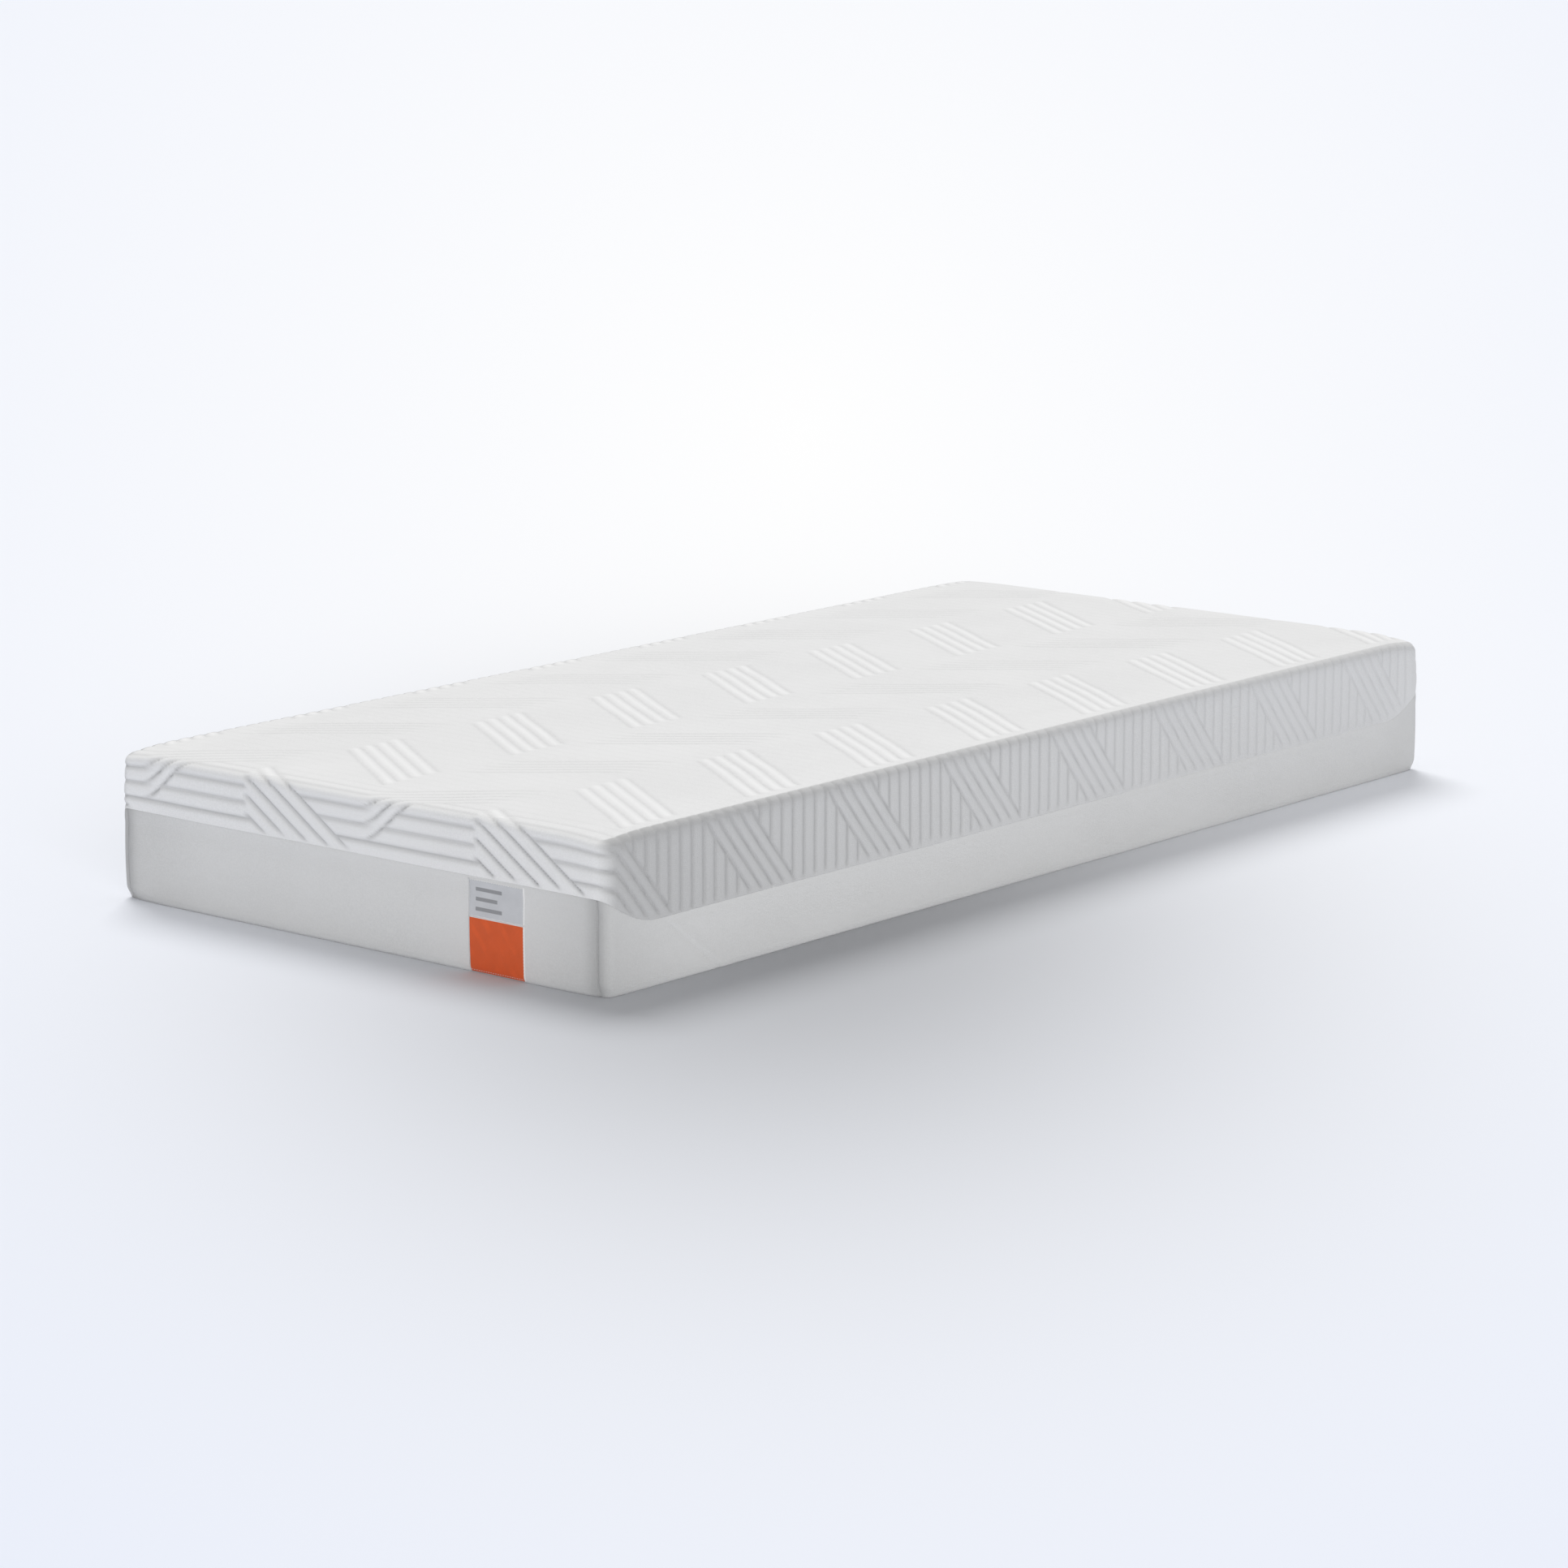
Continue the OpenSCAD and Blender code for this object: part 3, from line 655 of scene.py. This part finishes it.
def cloth_band(name, slot, s_from, s_to, bottom, top, depth, thickness, relief=None, step=0.006, rows=16,
               closed=False, round_bottom=0.0, round_top=0.0):
    """A strip of cloth round the sides. bottom and top are heights, or functions of the place y."""
    count = max(2, int(round((s_to - s_from) / step)))
    s = np.linspace(s_from, s_to, count + 1)
    if closed:
        s = s[:-1]
    x, y, nx, ny = outline(s, depth)
    bottom = bottom(y) if callable(bottom) else bottom + 0 * s
    top = top(y) if callable(top) else top + 0 * s
    section, behind = [], []
    for k in range(rows + 1):
        share = k / rows
        z = bottom + (top - bottom) * share
        out = relief(s, z) if relief is not None else 0 * s
        if round_bottom:
            out = out - round_bottom * (1 - smooth((z - bottom) / 0.006))
        if round_top:
            out = out - round_top * (1 - smooth((top - z) / 0.004))
        section.append(np.stack([x + nx * out, y + ny * out, z], -1))
        behind.append(np.stack([x + nx * (out - thickness), y + ny * (out - thickness), z], -1))
    grid = np.stack(section + behind[::-1], 1)
    ns, m = grid.shape[:2]
    index = np.arange(ns * m).reshape(ns, m)
    faces = []
    for i in range(ns if closed else ns - 1):
        i2 = (i + 1) % ns
        faces += [(index[i, k], index[i2, k], index[i2, (k + 1) % m], index[i, (k + 1) % m]) for k in range(m)]
    if not closed:
        faces += [tuple(index[0]), tuple(index[-1])]
    obj = new_object(name, grid.reshape(-1, 3), [tuple(int(i) for i in f) for f in faces], MATERIALS[slot])
    face_outwards(obj)
    return obj


def border_relief(s, z):
    """The border's face: it comes out to the quilting's edge at the hem, and turns in behind it above."""
    _, y, _, _ = outline(s, 0)
    above = z - (TOP - hem_drop(y))
    meet = (BORDER_DEPTH - HEM_SET_BACK) * smooth(1 + above / 0.022) - 0.0026 * smooth(above / 0.004)
    return (border_soft(s, z) + border_creases(s, z)) * smooth(-above / 0.012) + meet


def hem_height(y):
    return TOP - hem_drop(y) + 0.004


def paint_shade_near_seams(obj):
    """Paints shade on the cloth: a soft painted dark line down each corner, where it dips in, and a broader painted
    shade round each corner.
    """
    points = np.empty(len(obj.data.vertices) * 3)
    obj.data.vertices.foreach_get("co", points)
    points = np.abs(points.reshape(-1, 3))
    x, y, _, _ = outline(S_FOOT_SEAM, BORDER_DEPTH)
    away = np.hypot(points[:, 0] - abs(float(x)), points[:, 1] - abs(float(y)))
    dark = obj.data.attributes.new("groove", "FLOAT", "POINT")
    dark.data.foreach_set("value", 0.75 * np.exp(-(away / 0.014) ** 2) + 0.4 * np.exp(-(away / 0.10) ** 2))


def border_strips():
    length = outline_length()
    seam = 0.0005
    runs = {
        "border_foot": (-S_FOOT_SEAM + seam, S_FOOT_SEAM - seam, FLOOR_GAP),
        "border_right": (S_FOOT_SEAM + seam, S_HEAD - S_FOOT_SEAM - seam, FLOOR_GAP),
        "border_head": (S_HEAD - S_FOOT_SEAM + seam, S_HEAD + S_FOOT_SEAM - seam, low("border_head")),
        "border_left": (S_HEAD + S_FOOT_SEAM + seam, length - S_FOOT_SEAM - seam, FLOOR_GAP),
    }
    for node, (start, end, bottom) in runs.items():
        strip = cloth_band(node + "_cloth", "border_cloth", start, end, bottom, hem_height, BORDER_DEPTH, BORDER_T,
                           relief=border_relief, step=0.004, rows=34, round_bottom=0.0006)
        paint_shade_near_seams(strip)
        finish_piece(strip, "border_cloth", "top_cover", node)


def seam_ridges():
    """The upright seams: a row of stitches lies in the valley where two strips meet."""
    verts, faces = [], []
    for s in SEAMS:
        x, y, nx, ny = (float(v) for v in outline(s, BORDER_DEPTH))
        top = float(TOP - hem_drop(y))
        tx, ty = -ny, nx
        for k, z in enumerate(np.arange(FLOOR_GAP + 0.002, top, 0.0011)):
            bulge = 0.0002 + 0.0002 * math.sin(k * math.pi / 2)
            out = float(border_relief(s, z))
            start = len(verts)
            for side, deep in ((-1, -0.0008), (-0.5, 0.0), (0, bulge), (0.5, 0.0), (1, -0.0008)):
                move = out + 0.0002 + deep
                verts.append((x + nx * move + tx * side * 0.0011, y + ny * move + ty * side * 0.0011, z))
            if k:
                faces += [(start - 5 + i, start - 4 + i, start + i + 1, start + i) for i in range(4)]
    obj = new_object("corner_seam_ridges", verts, faces, MATERIALS["border_cloth"])
    paint_shade_near_seams(obj)
    return finish_piece(obj, "border_cloth", "top_cover", "corner_seams")


def lining_top(y):
    return TOP - hem_drop(y) - 0.001


def hidden_bands():
    """Lining, zip tapes and the strip round the base: closed rings of cloth."""
    length = outline_length()
    ring = dict(closed=True, step=0.008)
    lining = cloth_band("border_lining_pad", "wadding", 0, length, low("border_lining"), lining_top,
                        front("border_lining"), 0.003, rows=6, **ring,
                        relief=lambda s, z: 0.0003 * waves(s, z, 31, scale=0.06) - 0.0006)
    finish_piece(lining, "wadding", "top_cover", "border_lining")

    strip = cloth_band("base_strip_cloth", "border_cloth", 0, length, low("base_panel"), high("base_border"),
                       STRIP_DEPTH, TAPE_FRONT - STRIP_DEPTH, rows=12, **ring, round_bottom=0.0006, round_top=0.0005,
                       relief=lambda s, z: 0.0002 * waves(s, z, 41, scale=0.1) - 0.0001 - tuck_under(s, z))
    finish_piece(strip, "border_cloth", "base_cover", "base_border")

    ripple = lambda s, z: 0.0001 * waves(s, z, 51, scale=0.04)
    lower = cloth_band("zip_tape_low", "zip_tape", 0, length, low("lower_zip_tape"), high("lower_zip_tape"),
                       TAPE_FRONT, TAPE_T, relief=ripple, rows=4, **ring)
    finish_piece(lower, "zip_tape", "base_cover", "lower_zip_tape")
    upper = cloth_band("zip_tape_up", "zip_tape", 0, length, low("upper_zip_tape"), high("upper_zip_tape"),
                       TAPE_FRONT, TAPE_T, relief=ripple, rows=4, **ring)
    finish_piece(upper, "zip_tape", "top_cover", "upper_zip_tape")


# ---------------------------------------------------------------- the zip

def zip_teeth(name, node, body, side):
    """A coil as its separate turns: side is 1 for the upper coil and -1 for the lower."""
    lo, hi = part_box(node)
    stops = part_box("upper_zip_stops")
    middle, half_z = (lo.z + hi.z) / 2, (hi.z - lo.z) / 2
    depth = HALF_W - hi.x
    half_d = 0.0013
    length = outline_length()
    pitch = 0.0026
    count = int(length / pitch)
    turns = (np.arange(count) + (0.5 if side > 0 else 0.0)) * length / count
    x, y, nx, ny = outline(turns, depth + half_d)
    clear = ~((y > HALF_L - 0.02) & (x > stops[0].x) & (x < stops[1].x))
    verts, faces = [], []
    section = [(math.cos(a), math.sin(a)) for a in np.arange(8) * math.pi / 4]
    for cx, cy, ox, oy in zip(x[clear], y[clear], nx[clear], ny[clear]):
        tx, ty = -oy, ox
        start = len(verts)
        for along, size in ((-0.9, 0.72), (0, 1.0), (0.9, 0.72)):
            for c, h in section:
                lean = along * 0.001 + 0.0005 * h * side
                verts.append((cx + tx * lean + ox * c * half_d * size, cy + ty * lean + oy * c * half_d * size,
                              middle + h * half_z * size))
        for ring in (0, 8):
            faces += [(start + ring + i, start + ring + (i + 1) % 8, start + ring + 8 + (i + 1) % 8,
                       start + ring + 8 + i) for i in range(8)]
        faces += [tuple(start + i for i in range(8)), tuple(start + 16 + i for i in range(8))]
    obj = new_object(name, verts, faces, MATERIALS["zip_coil"])
    face_outwards(obj)
    return finish_piece(obj, "zip_coil", body, node)


# ---------------------------------------------------------------- labels and stitches

def flat_label(name, slot, node, end, bottom=None, columns=30, rows=24, thickness=0.0007, skew=0.0):
    """A label sewn to the foot (end -1) or head (end 1), following the border under it."""
    lo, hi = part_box(node)
    z0 = lo.z if bottom is None else bottom
    u, w = np.meshgrid(np.linspace(0, 1, columns + 1), np.linspace(0, 1, rows + 1), indexing="ij")
    x = lo.x + (hi.x - lo.x) * u + skew * w
    z = z0 + (hi.z - z0) * w
    s = x if end < 0 else S_HEAD - x
    near = np.minimum(np.minimum(u, 1 - u) * (hi.x - lo.x), np.minimum(w, 1 - w) * (hi.z - z0))
    lift = thickness * smooth(near / 0.0015 + 0.35) + 0.00025 * waves(x, z, 61, scale=0.03) * smooth(near / 0.01)
    out = border_relief(s, z) + lift + 0.0002
    y = end * (HALF_L - BORDER_DEPTH + out)
    back = end * (HALF_L - BORDER_DEPTH + border_relief(s, z) - 0.0003)
    verts = np.concatenate([np.stack([x, y, z], -1).reshape(-1, 3), np.stack([x, back, z], -1).reshape(-1, 3)])
    n = (columns + 1) * (rows + 1)
    index = np.arange(n).reshape(columns + 1, rows + 1)
    faces = []
    for i in range(columns):
        for j in range(rows):
            quad = (index[i, j], index[i + 1, j], index[i + 1, j + 1], index[i, j + 1])
            faces += [quad, tuple(k + n for k in reversed(quad))]
    rim = ([index[i, 0] for i in range(columns)] + [index[columns, j] for j in range(rows)]
           + [index[i, rows] for i in range(columns, 0, -1)] + [index[0, j] for j in range(rows, 0, -1)])
    faces += [(rim[i], rim[(i + 1) % len(rim)], rim[(i + 1) % len(rim)] + n, rim[i] + n) for i in range(len(rim))]
    obj = new_object(name, verts, [tuple(int(k) for k in f) for f in faces], MATERIALS[slot])
    face_outwards(obj)
    return finish_piece(obj, slot, "top_cover", node)


def stitches():
    """The label's sewing: short rounded stitches along its four edges and along the join."""
    lo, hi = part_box("label_stitching")
    join = low("label_grey")
    verts, faces = [], []

    def stitch(x, z, across):
        start = len(verts)
        half, r = 0.0016, 0.00028
        for along in np.linspace(-1, 1, 5):
            fat = r * math.sqrt(max(0.12, 1 - along ** 4))
            for k in range(6):
                a = k * math.pi / 3
                side, out = fat * math.cos(a), fat * 0.8 * math.sin(a) - 0.0002 * along ** 2
                px = x + (along * half if across else side)
                pz = z + (side if across else along * half)
                y = -(HALF_L - BORDER_DEPTH + float(border_relief(px, pz)) + 0.0010 + out)
                verts.append((px, y, pz))
            if along > -1:
                ring = len(verts) - 12
                faces.extend((ring + k, ring + (k + 1) % 6, ring + 6 + (k + 1) % 6, ring + 6 + k) for k in range(6))
        faces.append(tuple(start + k for k in range(6)))
        faces.append(tuple(len(verts) - 6 + k for k in range(6)))

    pitch = 0.0042
    for x in (lo.x, hi.x):
        for z in np.arange(0.006, hi.z, pitch):
            stitch(x, z, False)
    for z in (0.004, join, hi.z):
        for x in np.arange(lo.x + pitch / 2, hi.x, pitch):
            stitch(x, z, True)
    obj = new_object("label_stitches", verts, faces, MATERIALS["thread"])
    face_outwards(obj)
    return finish_piece(obj, "thread", "top_cover", "label_stitching")


# ---------------------------------------------------------------- core and base

def stacked_rings(name, slot, profile, step=0.012, relief=None, cap_first=True):
    """A rounded slab as rings of (depth, height), closed by flat faces at the ends."""
    length = outline_length()
    count = int(length / step)
    s = np.arange(count) * length / count
    verts, faces = [], []
    for k, (depth, z) in enumerate(profile):
        x, y, nx, ny = outline(s, min(depth, CORNER_R - 0.001))
        extra = max(0.0, depth - (CORNER_R - 0.001))
        if extra:
            x = x - np.sign(x) * np.minimum(np.abs(x), extra)
            y = y - np.sign(y) * np.minimum(np.abs(y), extra)
        out = relief(s, z) if relief is not None else 0 * s
        verts.append(np.stack([x + nx * out, y + ny * out, z + 0 * s], -1))
        if k:
            a, b = (k - 1) * count, k * count
            faces += [(a + i, a + (i + 1) % count, b + (i + 1) % count, b + i) for i in range(count)]
    if cap_first:
        faces.append(tuple(range(count)))
    faces.append(tuple(range((len(profile) - 1) * count, len(profile) * count)))
    obj = new_object(name, np.concatenate(verts), faces, MATERIALS[slot])
    face_outwards(obj)
    return obj


def rounded_profile(depth, bottom, top, bottom_r, top_r, rows):
    """Depths and heights up a slab's side, with round lower and upper edges."""
    points = []
    for k in range(5):
        a = math.pi / 2 * k / 4
        points.append((depth + bottom_r * (1 - math.sin(a)), bottom + bottom_r * (1 - math.cos(a))))
    for k in range(1, rows):
        points.append((depth, bottom + bottom_r + (top - bottom - bottom_r - top_r) * k / rows))
    for k in range(5):
        a = math.pi / 2 * k / 4
        points.append((depth + top_r * (1 - math.cos(a)), top - top_r * (1 - math.sin(a))))
    return points


def foam_layers():
    """Cut foam blocks, with sides that are a little uneven from the saw."""
    for number, (node, top_r) in enumerate((("base_foam", 0.001), ("support_foam", 0.001), ("memory_foam", 0.006))):
        relief = lambda s, z, seed=70 + number: 0.0002 * waves(s, z + 0 * s, seed, scale=0.05) - 0.0012
        layer = stacked_rings(node + "_block", node, rounded_profile(FOAM_DEPTH, low(node), high(node), 0.001,
                                                                    top_r, 8), relief=relief)
        finish_piece(layer, node, "core", node)


def liner_sock():
    """The stretch liner: it tucks under the core, goes up its sides and closes over the top."""
    tuck = 0.09
    bottom, top = low("inner_liner"), high("inner_liner")
    profile = [(LINER_DEPTH + tuck, bottom + 0.0003), (LINER_DEPTH + tuck * 0.6, bottom + 0.0003),
               (LINER_DEPTH + tuck * 0.3, bottom + 0.0003)]
    profile += rounded_profile(LINER_DEPTH, bottom + 0.0003, top, 0.002, 0.007, 14)
    profile += [(LINER_DEPTH + 0.012, top), (LINER_DEPTH + 0.016, top)]

    def relief(s, z):
        pull = 0.0005 * waves(s, z + 0 * s, 81, scale=0.12) + 0.0004 * waves(s * 3, z + 0 * s, 82, scale=0.2)
        return (pull - 0.0004) * float(smooth((z - bottom) / 0.01)) * float(smooth((top - z) / 0.01))

    obj = stacked_rings("liner_sock", "liner", profile, step=0.009, relief=relief, cap_first=False)
    return finish_piece(obj, "liner", "core", "inner_liner")


def base_cloth():
    lo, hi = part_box("base_panel")
    depth = STRIP_DEPTH + 0.0066
    obj = stacked_rings("base_cloth_panel", "base_cloth", rounded_profile(depth, lo.z, hi.z, 0.0004, 0.0004, 2))
    finish_piece(obj, "base_cloth", "base_cover", "base_panel")


def grip_dots():
    """Rows of low rubber dots in three fields on the underside."""
    lo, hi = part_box("grip_fields")
    run = (hi.y - lo.y + FIELD_GAP) / FIELDS
    r, pitch = 0.0045, 0.0275
    columns = int((hi.x - lo.x - 2 * r) / pitch)
    rows = int((run - FIELD_GAP - 2 * r) / pitch)
    verts, faces = [], []
    for field in range(FIELDS):
        middle = lo.y + field * run + (run - FIELD_GAP) / 2
        for i in range(columns + 1):
            for j in range(rows + 1):
                x, y = (i - columns / 2) * pitch, middle + (j - rows / 2) * pitch
                start = len(verts)
                for radius, z in ((r, hi.z + 0.0001), (r * 0.92, 0.0004), (r * 0.6, 0.0)):
                    verts.extend((x + radius * math.cos(k * math.pi / 5), y + radius * math.sin(k * math.pi / 5), z)
                                 for k in range(10))
                for ring in (start, start + 10):
                    faces.extend((ring + k, ring + (k + 1) % 10, ring + 10 + (k + 1) % 10, ring + 10 + k)
                                 for k in range(10))
                faces.append(tuple(start + k for k in range(10)))
                faces.append(tuple(start + 20 + k for k in range(10)))
    dots = new_object("grip_dots", verts, faces, MATERIALS["grip_rubber"])
    face_outwards(dots)
    finish_piece(dots, "grip_rubber", "base_cover", "grip_fields")


# ---------------------------------------------------------------- build everything

quilted_cover()
border_strips()
seam_ridges()
hidden_bands()
zip_teeth("zip_coil_low", "lower_zip_coil", "base_cover", -1)
zip_teeth("zip_coil_up", "upper_zip_coil", "top_cover", 1)
flat_label("label_grey_cloth", "label_grey", "label_grey", -1)
flat_label("label_orange_cloth", "label_orange", "label_orange", -1, bottom=0.0015, rows=34)
flat_label("care_label_cloth", "label_white", "care_label", 1)
stitches()
foam_layers()
liner_sock()
base_cloth()
grip_dots()
for node in ("lower_zip_stops", "upper_zip_stops"):
    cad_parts[node].data.materials.clear()
    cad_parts[node].data.materials.append(MATERIALS["zip_coil"])
for node in ("zip_slider", "pull_pin", "zip_pull"):
    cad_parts[node].data.materials.clear()
    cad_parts[node].data.materials.append(MATERIALS["zip_metal"])


# ---------------------------------------------------------------- stage, light and camera

CAMERA_AZIMUTH = 39.77
# The floor's painted light falloff is laid out by place, in a wedge of floor that opens backwards from `start` in
# front of
# the mattress: its width grows by `widen` from `near`, and its white middle lies where `along` times the run is
# `middle`.
FALLOFF_LAYOUT = dict(start=6.82, widen=0.979, near=0.303, least=0.5, across=3.03, along=0.402, middle=4.48)
FALLOFF_FAR_COLOUR, PAINTED_SHADOW_COLOUR, PAINTED_SHADOW_SHARE = (0.82, 0.86, 0.965), (0.02, 0.022, 0.027), 0.54
FLOOR_HALF = 40.0


def stage_floor():
    """A white floor with painted light: it is painted darker and bluer far behind and to the sides, as a painted light
    falloff, and has a painted soft shadow in front of the mattress.
    """
    m = Nodes("floor", (1.0, 1.0, 1.0), 1.0)
    m.set("Specular IOR Level", 0.0)

    def separate(vector):
        node = m.add("ShaderNodeSeparateXYZ")
        m.link(vector, node.inputs[0])
        return node.outputs

    def squared(value, middle, scale):
        off = m.math("DIVIDE", m.math("SUBTRACT", value, middle), scale)
        return m.math("MULTIPLY", off, off)

    place = separate(m.turned((0, 0, -math.radians(CAMERA_AZIMUTH))))
    out = m.math("ADD", place["Y"], FALLOFF_LAYOUT["start"])
    width = m.math("MAXIMUM", m.math("ADD", m.math("MULTIPLY", out, FALLOFF_LAYOUT["widen"]), FALLOFF_LAYOUT["near"]), FALLOFF_LAYOUT["least"])
    right = m.math("DIVIDE", m.math("MULTIPLY", place["X"], FALLOFF_LAYOUT["across"]), width)
    back = m.math("DIVIDE", m.math("SUBTRACT", m.math("MULTIPLY", out, FALLOFF_LAYOUT["along"]), FALLOFF_LAYOUT["middle"]), width)
    radius = m.math("SQRT", m.math("ADD", m.math("MULTIPLY", right, right), m.math("MULTIPLY", back, back)), 0)
    # Painted light falloff: white where the radius is small, darker and bluer as it grows.
    painted_falloff = m.mix(m.math("MULTIPLY", radius, 1.0, clamp=True), (1.0, 1.0, 1.0), FALLOFF_FAR_COLOUR)
    # Painted shadow: a soft dark patch in front of the mattress, mixed in for camera rays only, so that the floor
    # still bounces white light.
    painted_shadow = m.math("ADD", squared(place["X"], -0.05, 0.44), squared(place["Y"], -0.5, 0.97))
    painted_shadow = m.math("MULTIPLY", m.math("EXPONENT", m.math("MULTIPLY", painted_shadow, -0.5), 0), PAINTED_SHADOW_SHARE)
    seen = m.add("ShaderNodeLightPath").outputs["Is Camera Ray"]
    m.paint(m.mix(m.math("MULTIPLY", painted_shadow, seen), painted_falloff, PAINTED_SHADOW_COLOUR))
    corners = [(x * FLOOR_HALF, y * FLOOR_HALF, 0) for x, y in ((-1, -1), (1, -1), (1, 1), (-1, 1))]
    floor = new_object("floor", corners, [(0, 1, 2, 3)], m.material, smooth_shade=False)


def sun(name, towards, strength, spread):
    """A broad soft light from far away; towards is the direction from the mattress to it."""
    light = bpy.data.lights.new(name, "SUN")
    light.energy = strength
    light.angle = math.radians(spread)
    lamp = bpy.data.objects.new(name, light)
    lamp.rotation_euler = Vector(towards).to_track_quat("Z", "Y").to_euler()
    bpy.context.scene.collection.objects.link(lamp)


def studio():
    world = bpy.data.worlds.new("studio")
    world.use_nodes = True
    background = world.node_tree.nodes["Background"]
    background.inputs["Color"].default_value = (1.0, 1.0, 1.0, 1)
    background.inputs["Strength"].default_value = 0.47
    bpy.context.scene.world = world
    bpy.context.scene.view_settings.view_transform = "Standard"
    sun("key", (-0.6, 0.45, 1.0), 1.75, 30)
    sun("fill", (0.66, -0.54, 0.22), 1.0, 40)


def camera():
    azimuth, elevation, distance = math.radians(CAMERA_AZIMUTH), math.radians(11.76), 7.0
    aim = Vector((-0.05, 0.0, 0.061))
    away = Vector((math.sin(azimuth) * math.cos(elevation), -math.cos(azimuth) * math.cos(elevation),
                   math.sin(elevation)))
    data = bpy.data.cameras.new("camera")
    data.lens = 109.0
    data.sensor_width = 36.0
    eye = bpy.data.objects.new("camera", data)
    eye.location = aim + away * distance
    eye.rotation_euler = (-away).to_track_quat("-Z", "Y").to_euler()
    bpy.context.scene.collection.objects.link(eye)
    bpy.context.scene.camera = eye


stage_floor()
studio()
camera()
